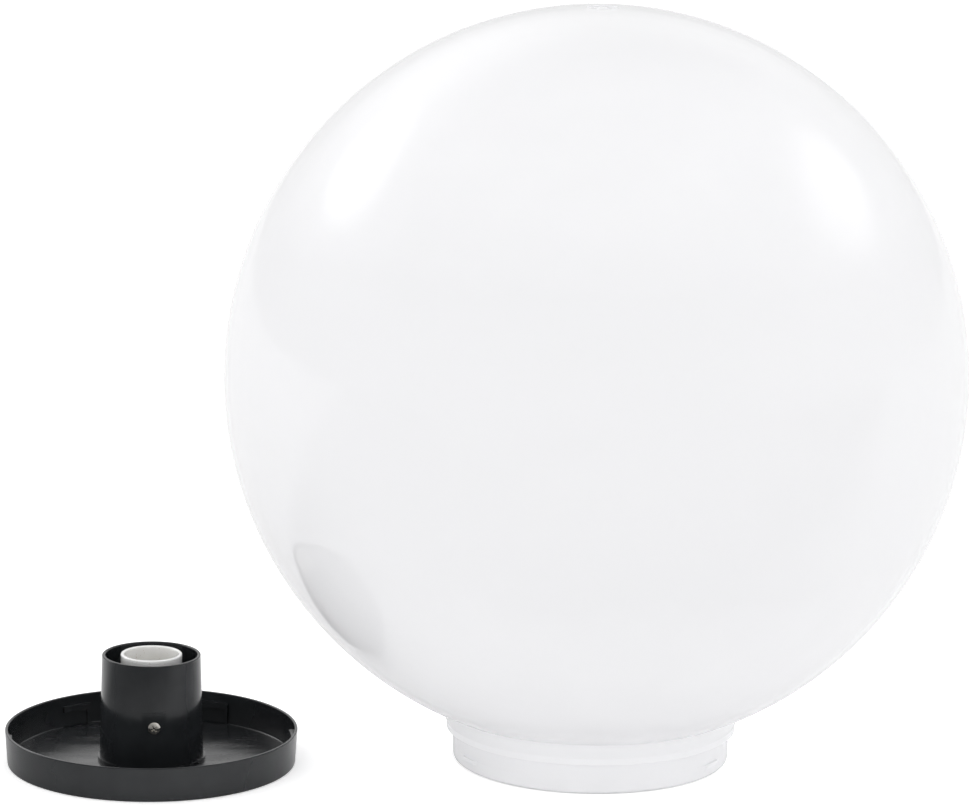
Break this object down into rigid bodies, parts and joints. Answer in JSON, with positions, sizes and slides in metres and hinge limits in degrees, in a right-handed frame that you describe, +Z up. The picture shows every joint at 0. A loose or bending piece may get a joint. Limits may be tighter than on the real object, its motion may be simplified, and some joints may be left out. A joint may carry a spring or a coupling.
{
  "type": "garden globe light",
  "caption": "Opal globe with an open neck, standing beside its round black dish base, which has a tapered pole sleeve with clamp screws and a porcelain lampholder.",
  "frame": {"origin": "on the pole's axis, at the flat underside of the dish", "axes": "+Z up along the pole, +X from the base towards the globe (the globe stands 1.4 degrees off it), -Y out of the front of the base, where one clamp screw faces"},
  "size_m": [0.6474, 0.5, 0.5146],
  "materials": {
    "opal_pmma": "opal, glossy",
    "black_abs": "moulded, satin",
    "glazed_porcelain": "glazed porcelain",
    "nickel_plated_steel": "nickel plated",
    "zinc_plated_steel": "bright zinc plated",
    "nickel_plated_brass": "nickel plated",
    "spring_bronze": "rolled, bright",
    "brass": "stamped, bright"
  },
  "bodies": {
    "base": {"base_dish": "black_abs", "lamp_sleeve": "black_abs", "clamp_nut_1": "zinc_plated_steel", "clamp_nut_2": "zinc_plated_steel", "clamp_nut_3": "zinc_plated_steel", "lampholder_body": "glazed_porcelain", "screw_shell": "nickel_plated_brass", "live_strip": "brass", "neutral_strip": "brass", "contact_rivets": "brass", "live_terminal": "brass", "neutral_terminal": "brass", "holder_bracket": "zinc_plated_steel", "holder_screws": "zinc_plated_steel", "bracket_screws": "zinc_plated_steel"},
    "globe": {"globe_shell": "opal_pmma"},
    "clamp_screw_1": {"clamp_screw_1": "nickel_plated_steel"},
    "clamp_screw_2": {"clamp_screw_2": "nickel_plated_steel"},
    "clamp_screw_3": {"clamp_screw_3": "nickel_plated_steel"},
    "live_terminal_screw": {"live_terminal_screw": "zinc_plated_steel"},
    "neutral_terminal_screw": {"neutral_terminal_screw": "zinc_plated_steel"},
    "centre_contact": {"centre_contact": "spring_bronze"}
  },
  "joints": [
    {"name": "globe_lift", "type": "slide", "parent": "base", "child": "globe", "axis": [0, 0, 1], "range_m": [0, 0.2]},
    {"name": "clamp_screw_1_travel", "type": "slide", "parent": "base", "child": "clamp_screw_1", "axis": [0, 1, 0], "range_m": [-0.002, 0.0007]},
    {"name": "clamp_screw_2_travel", "type": "slide", "parent": "base", "child": "clamp_screw_2", "axis": [-0.866, -0.5, 0], "range_m": [-0.002, 0.0007]},
    {"name": "clamp_screw_3_travel", "type": "slide", "parent": "base", "child": "clamp_screw_3", "axis": [0.866, -0.5, 0], "range_m": [-0.002, 0.0007]},
    {"name": "live_screw_travel", "type": "slide", "parent": "base", "child": "live_terminal_screw", "axis": [0, 0, 1], "range_m": [-0.0014, 0.0013]},
    {"name": "neutral_screw_travel", "type": "slide", "parent": "base", "child": "neutral_terminal_screw", "axis": [0, 0, 1], "range_m": [-0.0014, 0.0013]},
    {"name": "centre_contact_bend", "type": "hinge", "parent": "base", "child": "centre_contact", "pos_m": [0, 0.0056, 0.03755], "axis": [1, 0, 0], "range_deg": [0, 14], "stiffness_Nm_per_rad": 0.13}
  ]
}
